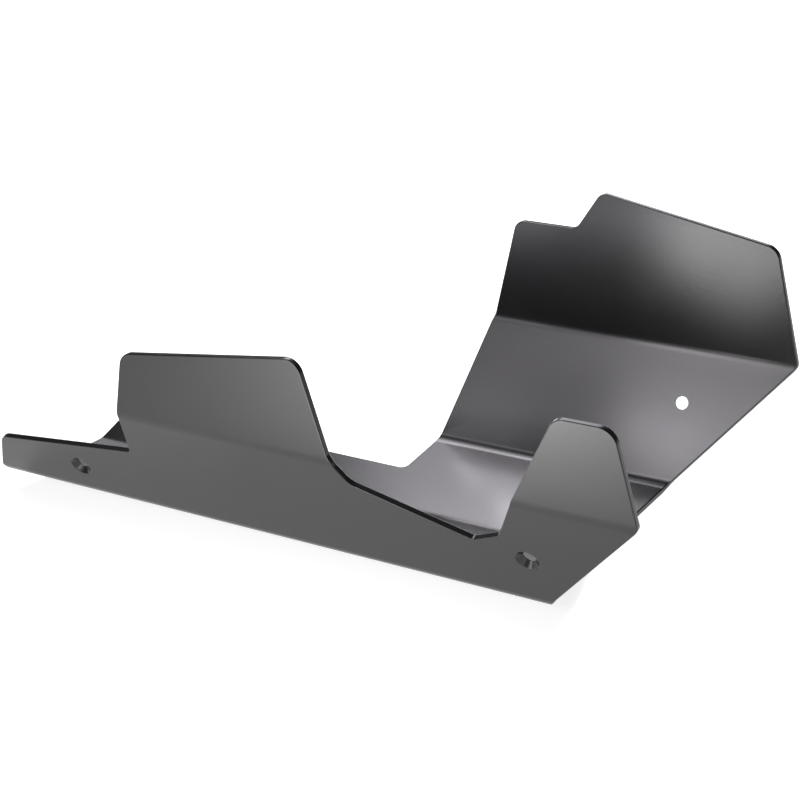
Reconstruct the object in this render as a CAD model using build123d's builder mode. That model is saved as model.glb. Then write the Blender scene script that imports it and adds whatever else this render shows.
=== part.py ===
from build123d import *
from math import atan2, cos, hypot, pi, sin, tan
import os

# Chin spoiler for a motorcycle: one cut sheet, folded along five parallel lines
# that all run fore and aft (X).  Across the sheet, from the near side (-Y) to the
# far side (+Y), its flat strips are:
#   near flange (two tabs), near side panel, near half of the floor,
#   far half of the floor, far side panel, far flange.
# Frame: +X forward, to the flared, taller end; +Y to the far side; +Z up.
# Origin: on the underside of the keel fold, halfway along the overall length.
# Lengths are millimetres.

# ---------------------------------------------------------------- the section
# Outer mould lines, the same on both sides of the keel.
t = 3.0                 # sheet thickness
floor_half = 62.9       # keel to side fold, across
floor_rise = 9.1        # side fold above the keel
top_half = 91.0         # keel to flange fold, across
top_rise = 73.2         # flange fold above the keel
flange_slope = 0.040    # how far the flanges lean out, per millimetre of height
r_keel = 15.0           # inside radius of the shallow keel fold
r_side = 6.0            # inside radius of the two folds between floor and sides
r_flange = 13.5         # inside radius of the two shallow flange folds

sig = atan2(floor_rise, floor_half)                          # floor above level
lean = atan2(top_half - floor_half, top_rise - floor_rise)   # panel out of upright
tilt = atan2(flange_slope, 1.0)                              # flange out of upright
panel_len = hypot(top_half - floor_half, top_rise - floor_rise)
floor_len = hypot(floor_half, floor_rise)

# the keel's mould line runs a little below the underside of its fold, which is z = 0
z_keel = -(r_keel + t) * (1 / cos(sig) - 1)
z_side = z_keel + floor_rise
z_top = z_keel + top_rise

a_keel = 2 * sig                        # fold angles
a_side = pi / 2 - sig - lean
a_flange = lean - tilt
k_keel = (r_keel + t) * tan(a_keel / 2)          # mould line to tangent line
k_side = (r_side + t) * tan(a_side / 2)
k_flange = (r_flange + t) * tan(a_flange / 2)

f0, f1 = k_keel, floor_len - k_side     # the flat of each half floor
p0, p1 = k_side, panel_len - k_flange   # the flat of each side panel
g0 = k_flange                           # the flat of each flange starts here

# ---------------------------------------------------------------- the outline
# Points are (x, s): x along the folds, s up the strip from its outer mould line.
front_fold_x, front_rake = 132.4, 0.8066         # front edge of both side panels
flange_front_x, flange_front_rake = 188.8, -0.217


def front_panel(s):
    return front_fold_x + front_rake * s


def front_flange(s):
    return flange_front_x + flange_front_rake * s


# near side panel: a tapering arm to the rear, the rear tab, a saddle, the front tab
arm_end_low = (-188.0, p0)
arm_end_top = (-175.5, 29.5)
arm_inner = (-84.9, 42.5)
tabl_rear_low = (-80.2, p1)
tabl_front_low = (41.8, p1)
saddle_rear = (46.7, 57.4)
saddle_low = (104.2, 37.8)
saddle_front = (118.8, 45.1)
tabr_rear_low = (129.2, p1)
# near flange, rear tab
tabl_rear_fold = (-79.6, g0)
tabl_rear_top = (-71.9, 33.4)
tabl_front_top = (28.4, 48.4)
tabl_front_fold = (39.4, g0)
# near flange, front tab
tabr_rear_fold = (131.8, g0)
tabr_rear_top = (152.6, 44.2)
tabr_height = 44.2
# floor: s runs outward from the keel, negative on the near half
rear_near_x = -183.3                    # rear end at the near side fold
rear_notch = (-172.5, -27.3)            # deepest point of the rear edge
rear_far = (-180.3, 31.6)               # rear end at the long far edge
waist = (0.8, 31.6)                     # where the long far edge steps out
waist_fold_x = 3.2                      # rear end at the far side fold
front_keel_x = 123.7                    # front edge at the keel
front_floor_x = 132.7                   # front edge at the side folds
# far side panel
farp_rear_low_x, farp_rear_rake = 5.1, 0.294
# far flange
farf_rear_fold = (25.5, g0)
farf_rear_top = (38.1, 54.2)
farf_step = (71.6, 54.1)
farf_peak = (85.1, 74.1)
farf_front_top_s = 57.9


def along(p, q, s):
    """x where the straight line through p and q reaches s."""
    return p[0] + (q[0] - p[0]) * (s - p[1]) / (q[1] - p[1])


def floor_front(s):
    return front_keel_x + (front_floor_x - front_keel_x) * abs(s) / f1


# screw holes, countersunk from outside
hole_r, head_r = 3.2, 5.9
near_rear_hole = (-126.4, 20.3)
near_front_hole = (129.6, 31.7)
far_front_hole = (134.2, 43.2)

# ---------------------------------------------------------------- strip planes
# Each lies on the outer face of its strip, with its origin on the mould line,
# local x along X and local y up the strip.
near_panel_plane = Plane(origin=(0, -floor_half, z_side), x_dir=(1, 0, 0),
                         z_dir=(0, -cos(lean), -sin(lean)))
far_panel_plane = Plane(origin=(0, floor_half, z_side), x_dir=(1, 0, 0),
                        z_dir=(0, -cos(lean), sin(lean)))
near_flange_plane = Plane(origin=(0, -top_half, z_top), x_dir=(1, 0, 0),
                          z_dir=(0, -cos(tilt), -sin(tilt)))
far_flange_plane = Plane(origin=(0, top_half, z_top), x_dir=(1, 0, 0),
                         z_dir=(0, -cos(tilt), sin(tilt)))
near_floor_plane = Plane(origin=(0, 0, z_keel), x_dir=(1, 0, 0), z_dir=(0, sin(sig), cos(sig)))
far_floor_plane = Plane(origin=(0, 0, z_keel), x_dir=(1, 0, 0), z_dir=(0, -sin(sig), cos(sig)))


def at(sketch, point):
    """The sketch's corner nearest to a point."""
    return sketch.vertices().sort_by_distance((point[0], point[1], 0))[0]


# ---------------------------------------------------------------- flat strips
with BuildPart() as near_panel:
    with BuildSketch(near_panel_plane) as near_panel_outline:
        with BuildLine():
            Polyline(arm_end_low, arm_end_top, arm_inner, tabl_rear_low, tabl_front_low,
                     saddle_rear, saddle_low, saddle_front, tabr_rear_low,
                     (front_panel(p1), p1), (front_panel(p0), p0), close=True)
        make_face()
        fillet(at(near_panel_outline.sketch_local, arm_end_top), 9.0)
        fillet(at(near_panel_outline.sketch_local, arm_inner), 2.0)
        fillet(at(near_panel_outline.sketch_local, saddle_rear), 8.0)
        fillet(at(near_panel_outline.sketch_local, saddle_low), 2.5)
        fillet(at(near_panel_outline.sketch_local, saddle_front), 3.0)
    extrude(amount=-t)

with BuildPart() as near_rear_tab:
    with BuildSketch(near_flange_plane) as near_rear_tab_outline:
        with BuildLine():
            Polyline(tabl_rear_fold, tabl_rear_top, tabl_front_top, tabl_front_fold, close=True)
        make_face()
        fillet(at(near_rear_tab_outline.sketch_local, tabl_rear_top), 8.5)
        fillet(at(near_rear_tab_outline.sketch_local, tabl_front_top), 8.0)
    extrude(amount=-t)

with BuildPart() as near_front_tab:
    with BuildSketch(near_flange_plane) as near_front_tab_outline:
        with BuildLine():
            Polyline(tabr_rear_fold, tabr_rear_top, (front_flange(tabr_height), tabr_height),
                     (front_flange(g0), g0), close=True)
        make_face()
        fillet(at(near_front_tab_outline.sketch_local, tabr_rear_top), 7.5)
        fillet(at(near_front_tab_outline.sketch_local, (front_flange(tabr_height), tabr_height)), 8.5)
    extrude(amount=-t)

with BuildPart() as near_floor:
    with BuildSketch(near_floor_plane) as near_floor_outline:
        with BuildLine():
            Polyline((rear_near_x, -f1), rear_notch, (along(rear_notch, rear_far, -f0), -f0),
                     (floor_front(f0), -f0), (floor_front(f1), -f1), close=True)
        make_face()
        fillet(at(near_floor_outline.sketch_local, rear_notch), 6.0)
    extrude(amount=t)

with BuildPart() as far_floor:
    with BuildSketch(far_floor_plane) as far_floor_outline:
        with BuildLine():
            Polyline((along(rear_notch, rear_far, f0), f0), rear_far, waist, (waist_fold_x, f1),
                     (floor_front(f1), f1), (floor_front(f0), f0), close=True)
        make_face()
        fillet(at(far_floor_outline.sketch_local, rear_far), 3.0)
        fillet(at(far_floor_outline.sketch_local, waist), 4.0)
    extrude(amount=t)

with BuildPart() as far_panel:
    with BuildSketch(far_panel_plane):
        with BuildLine():
            Polyline((farp_rear_low_x, p0), (farp_rear_low_x + farp_rear_rake * (p1 - p0), p1),
                     (front_panel(p1), p1), (front_panel(p0), p0), close=True)
        make_face()
    extrude(amount=t)

with BuildPart() as far_flange:
    with BuildSketch(far_flange_plane) as far_flange_outline:
        with BuildLine():
            Polyline(farf_rear_fold, farf_rear_top, farf_step, farf_peak,
                     (front_flange(farf_front_top_s), farf_front_top_s),
                     (front_flange(g0), g0), close=True)
        make_face()
        fillet(at(far_flange_outline.sketch_local, farf_rear_top), 6.0)
        fillet(at(far_flange_outline.sketch_local, farf_step), 6.0)
        fillet(at(far_flange_outline.sketch_local, farf_peak), 6.0)
        fillet(at(far_flange_outline.sketch_local,
                  (front_flange(farf_front_top_s), farf_front_top_s)), 8.0)
    extrude(amount=t)


# ---------------------------------------------------------------- folds
def fold(apex, start, turn, radius, ends):
    """One fold: a band of sheet t thick round an axis along X.

    apex is the fold's axis (y, z); start is the direction from it to the first
    tangent line, as an angle in the YZ plane from +Y; turn is the fold angle,
    counter-clockwise seen from +X.  ends lists (share of the turn, rear x, front x),
    and the cut edges run smoothly through them.
    """
    outer = radius + t
    y, z = apex

    def point(r, angle):
        return (y + r * cos(angle), z + r * sin(angle))

    with BuildPart() as bent:
        with BuildSketch(Plane.YZ.offset(-200)):
            with BuildLine():
                Line(point(radius, start), point(outer, start))
                ThreePointArc(point(outer, start), point(outer, start + turn / 2),
                              point(outer, start + turn))
                Line(point(outer, start + turn), point(radius, start + turn))
                ThreePointArc(point(radius, start + turn), point(radius, start + turn / 2),
                              point(radius, start))
            make_face()
        extrude(amount=400)
        # wedge between the cut edges, a little deeper than the sheet on both sides
        for share, rear, front in ends:
            angle = start + share * turn
            radial = Plane(origin=(0, y, z), x_dir=(1, 0, 0),
                           z_dir=(0, -sin(angle), cos(angle)))
            with BuildSketch(radial):
                with BuildLine():
                    Polyline((rear, 0.8 * radius), (front, 0.8 * radius),
                             (front, 1.25 * outer), (rear, 1.25 * outer), close=True)
                make_face()
        loft(mode=Mode.INTERSECT)
    return bent.part


def near_side(s, lift):
    """(y, z) of a point on the near panel, lift above its outer face."""
    return (-floor_half - s * sin(lean) + lift * cos(lean),
            z_side + s * cos(lean) + lift * sin(lean))


yc, zc = near_side(p1, r_flange + t)
near_rear_tab_fold = fold((yc, zc), lean - pi, -a_flange, r_flange,
                          [(0, tabl_rear_low[0], tabl_front_low[0]),
                           (0.5, tabl_rear_low[0] + 0.1, tabl_front_low[0] - 1.0),
                           (1, tabl_rear_fold[0], tabl_front_fold[0])])
near_front_tab_fold = fold((yc, zc), lean - pi, -a_flange, r_flange,
                           [(0, tabr_rear_low[0], front_panel(p1)),
                            (0.25, tabr_rear_low[0] + 0.6, front_panel(p1) + 1.05),
                            (0.5, tabr_rear_low[0] + 1.2, front_panel(p1) + 1.85),
                            (0.75, tabr_rear_low[0] + 1.9, front_flange(g0) + 0.25),
                            (1, tabr_rear_fold[0], front_flange(g0))])
far_rear_x = farp_rear_low_x + farp_rear_rake * (p1 - p0)
far_flange_fold = fold((-yc, zc), -lean, a_flange, r_flange,
                       [(0, far_rear_x, front_panel(p1)),
                        (0.25, far_rear_x + 0.5, front_panel(p1) + 1.05),
                        (0.5, far_rear_x + 1.1, front_panel(p1) + 1.85),
                        (0.75, far_rear_x + 1.7, front_flange(g0) + 0.25),
                        (1, farf_rear_fold[0], front_flange(g0))])

yc, zc = near_side(p0, r_side + t)
near_side_fold = fold((yc, zc), -pi / 2 - sig, -a_side, r_side,
                      [(0, rear_near_x, front_floor_x),
                       (0.25, rear_near_x - 1.7, front_floor_x + 0.4),
                       (0.5, rear_near_x - 3.2, front_floor_x + 1.15),
                       (0.75, rear_near_x - 4.3, front_floor_x + 2.25),
                       (1, arm_end_low[0], front_panel(p0))])
far_side_fold = fold((-yc, zc), -pi / 2 + sig, a_side, r_side,
                     [(0, waist_fold_x, front_floor_x),
                      (0.25, waist_fold_x + 0.25, front_floor_x + 0.4),
                      (0.5, waist_fold_x + 0.7, front_floor_x + 1.15),
                      (0.75, waist_fold_x + 1.3, front_floor_x + 2.25),
                      (1, farp_rear_low_x, front_panel(p0))])

keel_fold = fold((0, r_keel + t), -pi / 2 - sig, a_keel, r_keel,
                 [(0, along(rear_notch, rear_far, -f0), floor_front(f0)),
                  (0.5, along(rear_notch, rear_far, 0), front_keel_x + 0.15),
                  (1, along(rear_notch, rear_far, f0), floor_front(f0))])

# ---------------------------------------------------------------- one sheet
with BuildPart() as spoiler_shell:
    add(near_floor.part)
    add(keel_fold)
    add(far_floor.part)
    add(near_side_fold)
    add(far_side_fold)
    add(near_panel.part)
    add(far_panel.part)
    add(near_rear_tab_fold)
    add(near_front_tab_fold)
    add(near_rear_tab.part)
    add(near_front_tab.part)
    add(far_flange_fold)
    add(far_flange.part)
    # screw holes, square to the panels
    for strip, (x, s), outward in ((near_panel_plane, near_rear_hole, (0, -cos(lean), -sin(lean))),
                                   (near_panel_plane, near_front_hole, (0, -cos(lean), -sin(lean))),
                                   (far_panel_plane, far_front_hole, (0, cos(lean), -sin(lean)))):
        with Locations(Plane(origin=strip.from_local_coords((x, s, 0)), x_dir=(1, 0, 0),
                             z_dir=outward)):
            CounterSinkHole(radius=hole_r, counter_sink_radius=head_r, depth=t + 1,
                            counter_sink_angle=90)

spoiler_shell.part.label = "spoiler_shell"
os.makedirs("parts", exist_ok=True)
export_step(spoiler_shell.part, "parts/spoiler_shell.step")
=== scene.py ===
import math
from math import atan2, cos, hypot, pi, sin, tan

import bpy
from mathutils import Matrix, Vector
from mathutils.geometry import delaunay_2d_cdt


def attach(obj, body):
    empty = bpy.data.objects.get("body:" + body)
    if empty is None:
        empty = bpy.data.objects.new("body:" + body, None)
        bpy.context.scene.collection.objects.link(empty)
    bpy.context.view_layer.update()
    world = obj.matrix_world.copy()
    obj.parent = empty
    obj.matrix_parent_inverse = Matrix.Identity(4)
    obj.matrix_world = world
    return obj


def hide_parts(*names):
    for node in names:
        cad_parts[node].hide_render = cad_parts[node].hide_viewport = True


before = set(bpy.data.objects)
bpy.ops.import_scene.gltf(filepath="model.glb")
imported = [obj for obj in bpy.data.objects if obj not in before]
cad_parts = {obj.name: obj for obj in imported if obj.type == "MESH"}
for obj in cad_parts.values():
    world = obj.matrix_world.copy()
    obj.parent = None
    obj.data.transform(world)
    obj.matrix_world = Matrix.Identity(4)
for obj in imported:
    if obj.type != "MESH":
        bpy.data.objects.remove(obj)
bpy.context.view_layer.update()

# ================================================================ the sheet
# The CAD solid has hard cut edges.  The piece shown is the same folded sheet,
# with the soft rims that the coat gives it: its flat pattern is rounded at the rim
# and then folded.  Lengths are millimetres until the mesh is written.
t = 3.0
floor_half, floor_rise = 62.9, 9.1
top_half, top_rise = 91.0, 73.2
flange_slope = 0.040
r_keel, r_side, r_flange = 15.0, 6.0, 13.5
sig = atan2(floor_rise, floor_half)
lean = atan2(top_half - floor_half, top_rise - floor_rise)
tilt = atan2(flange_slope, 1.0)
panel_len = hypot(top_half - floor_half, top_rise - floor_rise)
floor_len = hypot(floor_half, floor_rise)
a_side = pi / 2 - sig - lean
a_flange = lean - tilt
k_keel = (r_keel + t) * tan(sig)
k_side = (r_side + t) * tan(a_side / 2)
k_flange = (r_flange + t) * tan(a_flange / 2)
f0, f1 = k_keel, floor_len - k_side
p0, p1 = k_side, panel_len - k_flange
g0 = k_flange

# the developed width, from the keel outward along the middle of the sheet
W_KEEL = (r_keel + t / 2) * sig
W_FLOOR = W_KEEL + f1 - f0
W_SIDE = W_FLOOR + (r_side + t / 2) * a_side
W_PANEL = W_SIDE + p1 - p0
W_FLANGE = W_PANEL + (r_flange + t / 2) * a_flange


def on_floor(s):
    return W_KEEL + s - f0


def on_panel(s):
    return W_SIDE + s - p0


def on_flange(s):
    return W_FLANGE + s - g0


def section(w):
    """Outer face's (y, z) and the angle it has turned through, for a developed width w >= 0."""
    y, z, turn = 0.0, 0.0, 0.0
    at_w = 0.0
    for kind, end, radius in (("bend", W_KEEL, r_keel), ("flat", W_FLOOR, 0), ("bend", W_SIDE, r_side),
                              ("flat", W_PANEL, 0), ("bend", W_FLANGE, r_flange), ("flat", 1e9, 0)):
        run = min(w, end) - at_w
        if kind == "bend":
            outer = radius + t
            cy, cz = y - outer * sin(turn), z + outer * cos(turn)
            turn += run / (radius + t / 2)
            y, z = cy + outer * sin(turn), cz - outer * cos(turn)
        else:
            y, z = y + run * cos(turn), z + run * sin(turn)
        at_w = end
        if w <= end:
            break
    return (y, z), turn


def place(x, w, lift):
    """Where the pattern's point (x, w) goes, lift above the outer face."""
    (y, z), turn = section(abs(w))
    side = 1.0 if w >= 0 else -1.0
    return Vector((x, side * (y - lift * sin(turn)), z + lift * cos(turn)))


def frame_at(w):
    """The pattern's +w direction and the way in, in space."""
    turn = section(abs(w))[1]
    side = 1.0 if w >= 0 else -1.0
    return Vector((0, cos(turn), side * sin(turn))), Vector((0, -side * sin(turn), cos(turn)))


# ---------------------------------------------------------------- the outline
front_fold_x, front_rake = 132.4, 0.8066
flange_front_x, flange_front_rake = 188.8, -0.217
front_keel_x, front_floor_x = 123.7, 132.7
rear_near_x, waist_fold_x = -183.3, 3.2
rear_notch, rear_far = (-172.5, -27.3), (-180.3, 31.6)
farp_rear_low_x, farp_rear_rake = 5.1, 0.294
tabr_height, farf_front_top_s = 44.2, 57.9
far_rear_x = farp_rear_low_x + farp_rear_rake * (p1 - p0)
SIDE_STEPS, FLANGE_STEPS, KEEL_STEPS = 9, 8, 6


def front_panel(s):
    return front_fold_x + front_rake * s


def front_flange(s):
    return flange_front_x + flange_front_rake * s


def rear_floor(w):
    """The rear edge of the floor runs straight from the notch to the far side."""
    s = w if abs(w) > W_KEEL else w * f0 / W_KEEL
    s = s - (W_KEEL - f0) * (1 if w > 0 else -1) if abs(w) > W_KEEL else s
    return rear_notch[0] + (rear_far[0] - rear_notch[0]) * (s - rear_notch[1]) / (rear_far[1] - rear_notch[1])


def through(values, share):
    """A smooth curve through evenly spaced values, at a share of its length."""
    n = len(values) - 1
    k = min(int(share * n), n - 1)
    u = share * n - k
    a = values[k - 1] if k else 2 * values[0] - values[1]
    b, c = values[k], values[k + 1]
    d = values[k + 2] if k + 2 <= n else 2 * values[n] - values[n - 1]
    return 0.5 * (2 * b + (c - a) * u + (2 * a - 5 * b + 4 * c - d) * u * u + (3 * b - a - 3 * c + d) * u ** 3)


# corners of the closed outline, counter-clockwise in (x, w): (x, w, radius, tag)
corners = []


def corner(x, w, radius=0.9, tag=None):
    corners.append((x, w, radius, tag))


def bend(name, values, w0, w1, steps):
    """One end of a fold, from w0 to w1; its tags join it to the fold's other end."""
    down = abs(w1) < abs(w0)
    for i in range(steps + 1):
        share = i / steps
        level = steps - i if down else i
        corner(through(values, share), w0 + (w1 - w0) * share, 0.9 if i in (0, steps) else 0.0, (name, level))


front_low = [front_floor_x, front_floor_x + 0.4, front_floor_x + 1.15, front_floor_x + 2.25, front_panel(p0)]
front_high = [front_panel(p1), front_panel(p1) + 1.05, front_panel(p1) + 1.85, front_flange(g0) + 0.25, front_flange(g0)]
floor_f0 = front_keel_x + (front_floor_x - front_keel_x) * f0 / f1

# front of the far half, going up
for i in range(KEEL_STEPS // 2 + 1):
    share = i / (KEEL_STEPS // 2)
    corner(front_keel_x + 0.15 + (floor_f0 - front_keel_x - 0.15) * share ** 1.5, W_KEEL * share, 0.0,
           ("keel", KEEL_STEPS // 2 + i))
bend("far_side", front_low, W_FLOOR, W_SIDE, SIDE_STEPS)
bend("far_flange", front_high, W_PANEL, W_FLANGE, FLANGE_STEPS)
# far flange
corner(front_flange(farf_front_top_s), on_flange(farf_front_top_s), 8.0)
corner(85.1, on_flange(74.1), 6.0)
corner(71.6, on_flange(54.1), 6.0)
corner(38.1, on_flange(54.2), 6.0)
bend("far_flange", [25.5, far_rear_x + 1.7, far_rear_x + 1.1, far_rear_x + 0.5, far_rear_x], W_FLANGE, W_PANEL, FLANGE_STEPS)
bend("far_side", [farp_rear_low_x, waist_fold_x + 1.3, waist_fold_x + 0.7, waist_fold_x + 0.25, waist_fold_x],
     W_SIDE, W_FLOOR, SIDE_STEPS)
# the floor's far and rear edges
corner(0.8, on_floor(31.6), 4.0)
corner(rear_far[0], on_floor(31.6), 3.0)
for i in range(KEEL_STEPS, -1, -1):
    w = W_KEEL * (2 * i / KEEL_STEPS - 1)
    corner(rear_floor(w), w, 0.0, ("keel", i))
corner(rear_notch[0], -on_floor(-rear_notch[1]), 6.0)
bend("near_side", [rear_near_x, rear_near_x - 1.7, rear_near_x - 3.2, rear_near_x - 4.3, -188.0],
     -W_FLOOR, -W_SIDE, SIDE_STEPS)
# near panel and its two tabs
corner(-175.5, -on_panel(29.5), 9.0)
corner(-84.9, -on_panel(42.5), 2.0)
bend("near_rear_tab", [-80.2, -80.1, -79.6], -W_PANEL, -W_FLANGE, FLANGE_STEPS)
corner(-71.9, -on_flange(33.4), 8.5)
corner(28.4, -on_flange(48.4), 8.0)
bend("near_rear_tab", [39.4, 40.8, 41.8], -W_FLANGE, -W_PANEL, FLANGE_STEPS)
corner(46.7, -on_panel(57.4), 8.0)
corner(104.2, -on_panel(37.8), 2.5)
corner(118.8, -on_panel(45.1), 3.0)
bend("near_front_tab", [129.2, 129.8, 130.4, 131.1, 131.8], -W_PANEL, -W_FLANGE, FLANGE_STEPS)
corner(152.6, -on_flange(tabr_height), 7.5)
corner(front_flange(tabr_height), -on_flange(tabr_height), 8.5)
bend("near_front_tab", front_high[::-1], -W_FLANGE, -W_PANEL, FLANGE_STEPS)
bend("near_side", front_low[::-1], -W_SIDE, -W_FLOOR, SIDE_STEPS)
for i in range(KEEL_STEPS // 2):
    share = 1 - i / (KEEL_STEPS // 2)
    corner(front_keel_x + 0.15 + (floor_f0 - front_keel_x - 0.15) * share ** 1.5, -W_KEEL * share, 0.0,
           ("keel", i))


def rounded(corners):
    """The outline with its corners rounded, as (point, tag), and a point close to
    each end of every straight run, so that shading turns only at the corners."""
    pts = [Vector(c[:2]) for c in corners]
    n = len(pts)
    cuts = []
    for i in range(n):
        a, b, c = pts[i - 1], pts[i], pts[(i + 1) % n]
        u, v = (a - b), (c - b)
        turn = pi - u.angle(v)
        reach = corners[i][2] * tan(turn / 2)
        # two neighbours share the run between them
        cuts.append((turn, min(reach, 0.48 * u.length, 0.48 * v.length)))
    out = []
    for i in range(n):
        a, b, c = pts[i - 1], pts[i], pts[(i + 1) % n]
        turn, reach = cuts[i]
        if reach < 0.01 or turn < 0.02:
            out.append((b.copy(), corners[i][3]))
            continue
        u, v = (a - b).normalized(), (c - b).normalized()
        radius = reach / tan(turn / 2)
        centre = b + (u + v).normalized() * (radius / cos(turn / 2))
        start, end = b + u * reach - centre, b + v * reach - centre
        steps = max(2, 2 * math.ceil(turn / math.radians(6) / 2))
        full = atan2(start.x * end.y - start.y * end.x, start.dot(end))
        for k in range(steps + 1):
            r = full * k / steps
            q = Vector((start.x * cos(r) - start.y * sin(r), start.x * sin(r) + start.y * cos(r)))
            out.append((centre + q, corners[i][3] if k == steps // 2 else None))
    eased = []
    for i, (p, tag) in enumerate(out):
        q = out[(i + 1) % len(out)][0]
        eased.append((p, tag))
        run = (q - p).length
        if run > 3.0:
            count = max(1, round(run / 10.0))
            stops = [0.5] + [run * k / count for k in range(1, count)] + [run - 0.5]
            for stop in stops:
                eased.append((p + (q - p) * (stop / run), None))
    return eased


outline = rounded(corners)
N = len(outline)
rim_points = [p for p, _ in outline]
inward = []
for i in range(N):
    a, b, c = rim_points[i - 1], rim_points[i], rim_points[(i + 1) % N]
    e0, e1 = (b - a).normalized(), (c - b).normalized()
    n0, n1 = Vector((-e0.y, e0.x)), Vector((-e1.y, e1.x))
    mid = (n0 + n1).normalized()
    inward.append((mid, 1.0 / max(0.6, mid.dot(n0))))

RIM = 0.60                       # radius of the rims, millimetres
ARC = [k * pi / 2 / 4 for k in range(5)]

verts, normals, faces = [], [], []


def put(x, w, lift, along_in=0.0, out=None, share_out=0.0):
    """A vertex at (x, w), lift above the outer face, its normal along_in times the
    way in plus share_out times the pattern direction out."""
    towards, into = frame_at(w)
    normal = into * along_in
    if out is not None:
        normal += (Vector((1, 0, 0)) * out.x + towards * out.y) * share_out
    verts.append(place(x, w, lift))
    normals.append(normal.normalized())
    return len(verts) - 1


rings = []
for side in (0, 1):                                  # the outer face's rim, then the inner's
    for angle in (ARC if side == 0 else ARC[::-1]):
        depth = RIM * (1 - sin(angle))
        lift = RIM * (1 - cos(angle)) if side == 0 else t - RIM * (1 - cos(angle))
        ring = []
        for p, (mid, scale) in zip(rim_points, inward):
            q = p + mid * (depth * scale)
            ring.append(put(q.x, q.y, lift, cos(angle) * (-1 if side == 0 else 1), -mid, sin(angle)))
        rings.append(ring)
for lower, upper in zip(rings, rings[1:]):
    for i in range(N):
        j = (i + 1) % N
        faces.append((lower[i], lower[j], upper[j], upper[i]))

# ---------------------------------------------------------------- screw holes
hole_r, head_r = 3.2, 5.9
holes = [(-126.4, -on_panel(20.3)), (129.6, -on_panel(31.7)), (134.2, on_panel(43.2))]
ROUND = 72
SOFT, FINE = 0.9, 0.16          # radius of the head's rim, and of the bore's two rims


def bore_profile():
    """(radius, lift, share in, share to the axis) from the outer face to the inner."""
    rows = []
    # outer face into the 45 degree cone
    reach = SOFT * tan(pi / 8)
    for k in range(5):
        a = k * pi / 4 / 4
        rows.append((head_r + reach - SOFT * sin(a), SOFT * (1 - cos(a)), -cos(a), sin(a)))
    # the cone into the bore's short land
    depth = head_r - hole_r
    reach = FINE * tan(pi / 8)
    for k in range(3):
        a = pi / 4 + k * pi / 4 / 2
        rows.append((hole_r + FINE - FINE * sin(a), depth + reach - FINE * cos(a) + 0.0, -cos(a), sin(a)))
    # the land into the inner face
    for k in range(1, 4):
        a = pi / 2 + k * pi / 2 / 3
        rows.append((hole_r + FINE - FINE * sin(a), t - FINE - FINE * cos(a), -cos(a), sin(a)))
    return rows


profile = bore_profile()
hole_loops = []
for hx, hw in holes:
    loops = []
    for radius, lift, share_in, share_axis in profile:
        loop = []
        for k in range(ROUND):
            a = 2 * pi * k / ROUND
            d = Vector((cos(a), sin(a)))
            loop.append(put(hx + radius * d.x, hw + radius * d.y, lift, share_in, -d, share_axis))
        loops.append(loop)
    for lower, upper in zip(loops, loops[1:]):
        for k in range(ROUND):
            m = (k + 1) % ROUND
            faces.append((lower[k], upper[k], upper[m], lower[m]))
    hole_loops.append(loops)


# ---------------------------------------------------------------- the two faces
def inside(p, loop):
    hit = False
    for i in range(len(loop)):
        a, b = loop[i - 1], loop[i]
        if (a.y > p.y) != (b.y > p.y) and p.x < (b.x - a.x) * (p.y - a.y) / (b.y - a.y) + a.x:
            hit = not hit
    return hit


by_tag = {}
for i, (_, tag) in enumerate(outline):
    if tag is not None:
        by_tag.setdefault(tag, []).append(i)

inner_edge = [p + mid * (RIM * scale) for p, (mid, scale) in zip(rim_points, inward)]
lines_at = [W_KEEL, W_FLOOR, W_SIDE, W_PANEL, W_FLANGE]


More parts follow.
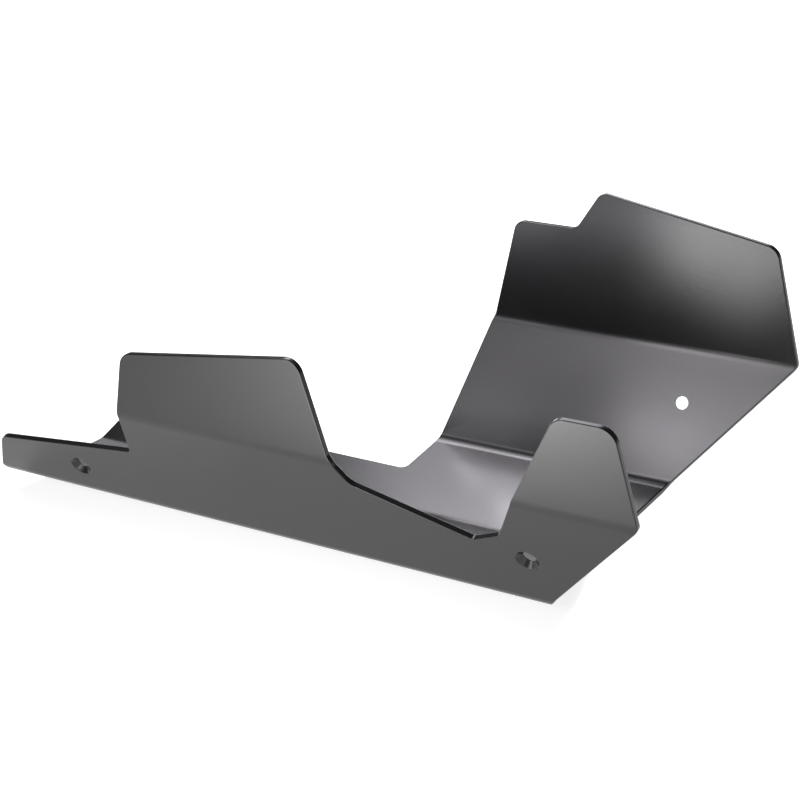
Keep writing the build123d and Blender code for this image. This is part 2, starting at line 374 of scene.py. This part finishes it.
def fill(ring, loops_at, lift, share_in):
    pts, index, edges = [], [], []
    for k, i in enumerate(ring):
        pts.append(inner_edge[k])
        index.append(i)
        edges.append((k, (k + 1) % N))
    for (hx, hw), loops in zip(holes, hole_loops):
        loop, radius = loops[loops_at], profile[loops_at][0]
        start = len(pts)
        for k, i in enumerate(loop):
            a = 2 * pi * k / ROUND
            pts.append(Vector((hx + radius * cos(a), hw + radius * sin(a))))
            index.append(i)
            edges.append((start + k, start + (k + 1) % ROUND))
    for ends in by_tag.values():
        if len(ends) == 2:
            edges.append(tuple(ends))
    # even points over the flats
    step = 11.0
    for col in range(-18, 19):
        for row in range(-22, 23):
            p = Vector((col * step, row * step))
            if any(w - 4 < abs(p.y) < v + 4 for w, v in ((0, W_KEEL), (W_FLOOR, W_SIDE), (W_PANEL, W_FLANGE))):
                continue
            if not inside(p, inner_edge) or min((p - q).length for q in inner_edge) < 5:
                continue
            if any((p - Vector(h)).length < 9.5 for h in holes):
                continue
            pts.append(p)
            index.append(put(p.x, p.y, lift, share_in))
    out_pts, _, out_faces, orig, _, _ = delaunay_2d_cdt(pts, edges, [], 0, 1e-5, True)
    new_of = {}
    for new, olds in enumerate(orig):
        for old in olds:
            new_of[old] = new
    if len(out_pts) != len(pts) or len(new_of) != len(pts):
        raise RuntimeError("the fill made or merged points")
    old_of = {new: old for old, new in new_of.items()}
    tris = [tuple(old_of[i] for i in f) for f in out_faces]
    # the sheet is to the left of its outline and to the right of each hole's circle
    border = {(k, (k + 1) % N): True for k in range(N)}
    for h in range(len(holes)):
        start = N + h * ROUND
        border.update({(start + k, start + (k + 1) % ROUND): False for k in range(ROUND)})
    owner = {}
    for f, tri in enumerate(tris):
        for k in range(3):
            owner[(tri[k], tri[(k + 1) % 3])] = f
    kept = {}
    for (a, b), left in border.items():
        if (a, b) in owner:
            kept[owner[(a, b)]] = left
        if (b, a) in owner:
            kept[owner[(b, a)]] = not left
    queue = list(kept)
    while queue:
        f = queue.pop()
        tri = tris[f]
        for k in range(3):
            a, b = tri[k], tri[(k + 1) % 3]
            if (a, b) in border or (b, a) in border:
                continue
            g = owner.get((b, a))
            if g is not None and g not in kept:
                kept[g] = kept[f]
                queue.append(g)
    for f, tri in enumerate(tris):
        if kept.get(f):
            tri = [index[i] for i in tri]
            if share_in < 0:
                tri.reverse()
            faces.append(tuple(tri))


fill(rings[0], 0, 0.0, -1.0)
fill(rings[-1], len(profile) - 1, t, 1.0)

mesh = bpy.data.meshes.new("chin_spoiler_sheet")
mesh.from_pydata([v * 0.001 for v in verts], [], faces)
mesh.validate()
for polygon in mesh.polygons:
    polygon.use_smooth = True
mesh.normals_split_custom_set_from_vertices(normals)
mesh.update()
sheet = bpy.data.objects.new("chin_spoiler_sheet", mesh)
bpy.context.scene.collection.objects.link(sheet)
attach(sheet, "root")
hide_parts("spoiler_shell")


# ---------------------------------------------------------------- helpers
class Nodes:
    """A material's node tree, with short calls for its nodes."""

    def __init__(self, name):
        self.material = bpy.data.materials.new(name)
        self.material.use_nodes = True
        self.tree = self.material.node_tree
        self.tree.nodes.clear()

    def add(self, kind, **sockets):
        node = self.tree.nodes.new(kind)
        for key, value in sockets.items():
            if hasattr(node, key) and key not in node.inputs:
                setattr(node, key, value)
        return node

    def link(self, a, b):
        self.tree.links.new(a, b)

    def value(self, socket, value):
        if isinstance(value, (int, float)):
            socket.default_value = value
        else:
            self.link(value, socket)

    def math(self, op, a, b=0.0, clamp=False):
        node = self.tree.nodes.new("ShaderNodeMath")
        node.operation = op
        node.use_clamp = clamp
        self.value(node.inputs[0], a)
        self.value(node.inputs[1], b)
        return node.outputs[0]

    def span(self, x, x0, x1, y0, y1, smooth=True):
        """x from x0..x1 mapped to y0..y1, clamped."""
        node = self.tree.nodes.new("ShaderNodeMapRange")
        node.interpolation_type = "SMOOTHSTEP" if smooth else "LINEAR"
        self.value(node.inputs["Value"], x)
        for key, v in (("From Min", x0), ("From Max", x1), ("To Min", y0), ("To Max", y1)):
            self.value(node.inputs[key], v)
        return node.outputs["Result"]

    def noise(self, vector, scale, detail=2.0, roughness=0.5, distortion=0.0):
        node = self.tree.nodes.new("ShaderNodeTexNoise")
        node.inputs["Scale"].default_value = scale
        node.inputs["Detail"].default_value = detail
        node.inputs["Roughness"].default_value = roughness
        node.inputs["Distortion"].default_value = distortion
        self.link(vector, node.inputs["Vector"])
        return node.outputs["Fac"]

    def voronoi(self, vector, scale, feature="F1", randomness=1.0):
        node = self.tree.nodes.new("ShaderNodeTexVoronoi")
        node.feature = feature
        node.inputs["Scale"].default_value = scale
        node.inputs["Randomness"].default_value = randomness
        self.link(vector, node.inputs["Vector"])
        return node.outputs["Distance"]

    def mix(self, factor, a, b):
        node = self.tree.nodes.new("ShaderNodeMix")
        node.data_type = "RGBA"
        self.value(node.inputs[0], factor)
        node.inputs[6].default_value = a if isinstance(a, (tuple, list)) else (0, 0, 0, 1)
        node.inputs[7].default_value = b if isinstance(b, (tuple, list)) else (0, 0, 0, 1)
        if not isinstance(a, (tuple, list)):
            self.link(a, node.inputs[6])
        if not isinstance(b, (tuple, list)):
            self.link(b, node.inputs[7])
        return node.outputs[2]


# ---------------------------------------------------------------- powder coat
def powder_coat():
    """Satin black powder coat: a near black film with the fine, shallow grain that
    the powder leaves, a broader waviness, and slight clouding where it was handled."""
    n = Nodes("powder_coat")
    place = n.add("ShaderNodeTexCoord").outputs["Object"]

    # the film: near black, a little lighter in faint clouds
    cloud = n.noise(place, 16.0, 4.0, 0.55, 0.4)
    patch = n.noise(place, 60.0, 3.0, 0.5)
    tone = n.mix(n.span(cloud, 0.25, 0.80, 0.0, 1.0),
                 (0.0030, 0.0029, 0.0030, 1), (0.0052, 0.0050, 0.0052, 1))
    tone = n.mix(n.span(patch, 0.25, 0.85, 0.0, 0.35), tone, (0.0068, 0.0066, 0.0068, 1))

    # gloss: satin, cloudier where the film was rubbed
    rough = n.math("ADD", n.span(cloud, 0.25, 0.80, 0.242, 0.266),
                   n.span(patch, 0.2, 0.9, -0.006, 0.006))

    # grain: fine grit over a softer orange peel of about 1.6 mm
    grit = n.noise(place, 1400.0, 1.0, 0.5)
    peel = n.noise(place, 620.0, 1.0, 0.4)
    height = n.math("ADD", n.math("MULTIPLY", grit, 0.25), n.math("MULTIPLY", peel, 0.75))
    bump = n.add("ShaderNodeBump")
    bump.inputs["Strength"].default_value = 0.14
    bump.inputs["Distance"].default_value = 0.00015
    n.link(height, bump.inputs["Height"])

    shader = n.add("ShaderNodeBsdfPrincipled")
    n.link(tone, shader.inputs["Base Color"])
    n.link(rough, shader.inputs["Roughness"])
    n.link(bump.outputs["Normal"], shader.inputs["Normal"])
    shader.inputs["IOR"].default_value = 1.5
    shader.inputs["Metallic"].default_value = 0.0
    out = n.add("ShaderNodeOutputMaterial")
    n.link(shader.outputs["BSDF"], out.inputs["Surface"])
    return n.material


coat = powder_coat()
mesh.materials.append(coat)

# ---------------------------------------------------------------- studio
def floor_with_painted_glow():
    """Pale floor that glows, a little brighter in front: the glow is painted light, which whitens the floor's own
    shadows and gives the sheet bright reflections.
    """
    n = Nodes("floor_with_painted_glow")
    place = n.add("ShaderNodeTexCoord").outputs["Object"]
    grain = n.noise(place, 900.0, 2.0, 0.5)
    tone = n.mix(n.span(grain, 0.3, 0.7, 0.0, 1.0), (0.50, 0.50, 0.50, 1), (0.485, 0.485, 0.485, 1))
    shader = n.add("ShaderNodeBsdfDiffuse")
    n.link(tone, shader.inputs["Color"])
    # painted glow: the floor emits light all round, less close in front where the panels reflect it and further off to
    # the right
    split = n.add("ShaderNodeSeparateXYZ")
    n.link(place, split.inputs[0])
    x, y = split.outputs["X"], split.outputs["Y"]
    behind = n.span(y, -0.06, 0.14, 0.0, 1.0)
    beside = n.span(x, 0.16, 0.28, 0.0, 1.0)
    reach = n.add("ShaderNodeVectorMath")
    reach.operation = "LENGTH"
    n.link(place, reach.inputs[0])
    far = n.span(reach.outputs["Value"], 0.35, 0.80, 0.0, 1.0)
    across = n.math("ADD", n.math("MULTIPLY", x, 0.948), n.math("MULTIPLY", y, 0.377))
    painted_glow_boost = n.math("MAXIMUM", n.math("MAXIMUM", behind, beside), far)
    glow = n.math("MULTIPLY", n.math("ADD", n.math("MULTIPLY", painted_glow_boost, 0.42), 0.79),
                  n.span(across, 0.28, 0.80, 1.0, 0.66))
    # bright patches of painted glow on the floor in front, placed for the panels and the folds to reflect them
    for (px, py), spread, strength in (((-0.03, -0.40), 0.09, 8.8), ((0.08, -0.26), 0.07, 1.6),
                                       ((0.18, -0.40), 0.09, 1.5), ((0.0, -0.33), 0.045, 7.0)):
        away = n.add("ShaderNodeVectorMath")
        away.operation = "DISTANCE"
        n.link(place, away.inputs[0])
        away.inputs[1].default_value = (px, py, 0)
        fall = n.math("EXPONENT", n.math("MULTIPLY", n.math("POWER", away.outputs["Value"], 2.0), -0.5 / spread ** 2))
        glow = n.math("ADD", n.math("MULTIPLY", fall, strength), glow)
    glowing = n.add("ShaderNodeEmission")
    n.link(glow, glowing.inputs["Strength"])
    both = n.add("ShaderNodeAddShader")
    n.link(shader.outputs[0], both.inputs[0])
    n.link(glowing.outputs[0], both.inputs[1])
    out = n.add("ShaderNodeOutputMaterial")
    n.link(both.outputs[0], out.inputs["Surface"])
    return n.material


floor_mesh = bpy.data.meshes.new("studio_floor")
floor_mesh.from_pydata([(-6, -6, -0.0004), (6, -6, -0.0004), (6, 6, -0.0004), (-6, 6, -0.0004)], [], [(0, 1, 2, 3)])
floor_mesh.materials.append(floor_with_painted_glow())
floor = bpy.data.objects.new("studio_floor", floor_mesh)
bpy.context.scene.collection.objects.link(floor)


COOL, WARM = (0.960, 0.935, 1.0), (1.0, 0.955, 0.975)


def lamp(name, at, aim, size, power, colour=COOL):
    data = bpy.data.lights.new(name, "AREA")
    data.shape = "RECTANGLE"
    data.size, data.size_y = size
    data.energy = power
    data.color = colour
    obj = bpy.data.objects.new(name, data)
    bpy.context.scene.collection.objects.link(obj)
    obj.location = Vector(at)
    obj.rotation_mode = "QUATERNION"
    obj.rotation_quaternion = (Vector(aim) - Vector(at)).to_track_quat("-Z", "Y")
    obj.visible_camera = False
    return obj


def around(azimuth, elevation, distance):
    a, e = math.radians(azimuth), math.radians(elevation)
    return Vector((cos(e) * cos(a), cos(e) * sin(a), sin(e))) * distance + Vector((0, 0, 0.05))


middle = Vector((0, 0, 0.05))
lamp("front_box", around(240, 32, 1.7), middle, (0.85, 0.85), 2.6, WARM)
lamp("front_mid_box", (-0.05, -0.50, 0.16), middle, (0.18, 0.18), 0.42, WARM)
lamp("front_high_box", (-0.05, -0.50, 0.30), middle, (0.18, 0.18), 0.52)
lamp("front_left_box", (-0.25, -0.50, 0.32), middle, (0.20, 0.20), 0.26)
lamp("front_tab_card", (-0.02, -0.30, 0.13), (0.10, -0.09, 0.11), (0.12, 0.08), 0.13)
lamp("rear_left_box", (-0.30, 0.50, 0.45), middle, (0.20, 0.20), 0.40)
lamp("rear_mid_box", (-0.10, 0.50, 0.45), middle, (0.20, 0.20), 0.44)
lamp("rear_high_box", (-0.30, 0.50, 0.75), middle, (0.20, 0.20), 0.92)
lamp("rear_low_box", (-0.50, 0.50, 0.12), middle, (0.20, 0.20), 0.15)
lamp("over_left_box", (-0.35, 0.12, 0.70), middle, (0.25, 0.25), 1.51)
lamp("over_rear_box", (-0.35, 0.35, 0.70), middle, (0.25, 0.25), 2.15)
lamp("over_mid_box", (-0.29, -0.07, 0.62), middle, (0.30, 0.30), 0.70)
lamp("rear_rim_box", (-0.02, 0.62, 0.37), (0.12, 0.09, 0.13), (0.24, 0.16), 0.34)
lamp("trough_near_card", (-0.02, -0.080, 0.100), (-0.02, 0.10, 0.100), (0.12, 0.02), 0.014)
lamp("trough_fold_card", (0.030, -0.080, 0.087), (0.030, 0.10, 0.087), (0.11, 0.014), 0.026)
lamp("trough_left_card", (-0.055, -0.080, 0.082), (-0.055, 0.10, 0.082), (0.06, 0.02), 0.022)
lamp("trough_far_card", (0.065, 0.070, 0.045), (0.065, -0.846, 0.447), (0.12, 0.035), 0.030)
lamp("trough_top_card", (0.065, 0.082, 0.082), (0.065, -0.618, -0.118), (0.10, 0.02), 0.045)

# a dim room behind the lights
world = bpy.data.worlds.new("studio")
bpy.context.scene.world = world
world.use_nodes = True
room = world.node_tree
ray = room.nodes.new("ShaderNodeTexCoord")
split = room.nodes.new("ShaderNodeSeparateXYZ")
room.links.new(ray.outputs["Generated"], split.inputs[0])
fade = room.nodes.new("ShaderNodeMapRange")
room.links.new(split.outputs["Z"], fade.inputs["Value"])
for key, v in (("From Min", 0.0), ("From Max", 0.6), ("To Min", 0.12), ("To Max", 0.10)):
    fade.inputs[key].default_value = v
room.nodes["Background"].inputs["Color"].default_value = (1, 1, 1, 1)
room.links.new(fade.outputs["Result"], room.nodes["Background"].inputs["Strength"])

# ---------------------------------------------------------------- camera
azimuth, elevation, roll = math.radians(32.977), math.radians(24.195), math.radians(-3.562)
focal_px, centre_u, centre_v, metres_per_unit = 1841.772, 397.535, 511.439, 0.0005
right = Vector((math.cos(azimuth), math.sin(azimuth), 0))
back = Vector((math.sin(azimuth) * math.cos(elevation), -math.cos(azimuth) * math.cos(elevation), math.sin(elevation)))
up = back.cross(right)
image_x = right * math.cos(roll) + up * math.sin(roll)
image_y = -right * math.sin(roll) + up * math.cos(roll)
eye = -((centre_u - 400) * image_x + (400 - centre_v) * image_y - focal_px * back) * metres_per_unit
eye += Vector((0.015, 0, -0.000187))
camera_data = bpy.data.cameras.new("camera")
camera_data.sensor_width = 36.0
camera_data.lens = 36.0 * focal_px / 800
camera_data.clip_start, camera_data.clip_end = 0.01, 50
camera = bpy.data.objects.new("camera", camera_data)
bpy.context.scene.collection.objects.link(camera)
camera.matrix_world = Matrix((
    (image_x.x, image_y.x, back.x, eye.x),
    (image_x.y, image_y.y, back.y, eye.y),
    (image_x.z, image_y.z, back.z, eye.z),
    (0, 0, 0, 1)))
bpy.context.scene.camera = camera

bpy.context.scene.view_settings.view_transform = "Standard"
bpy.context.scene.view_settings.look = "None"
bpy.context.scene.view_settings.exposure = 0.0
bpy.context.scene.view_settings.gamma = 1.0
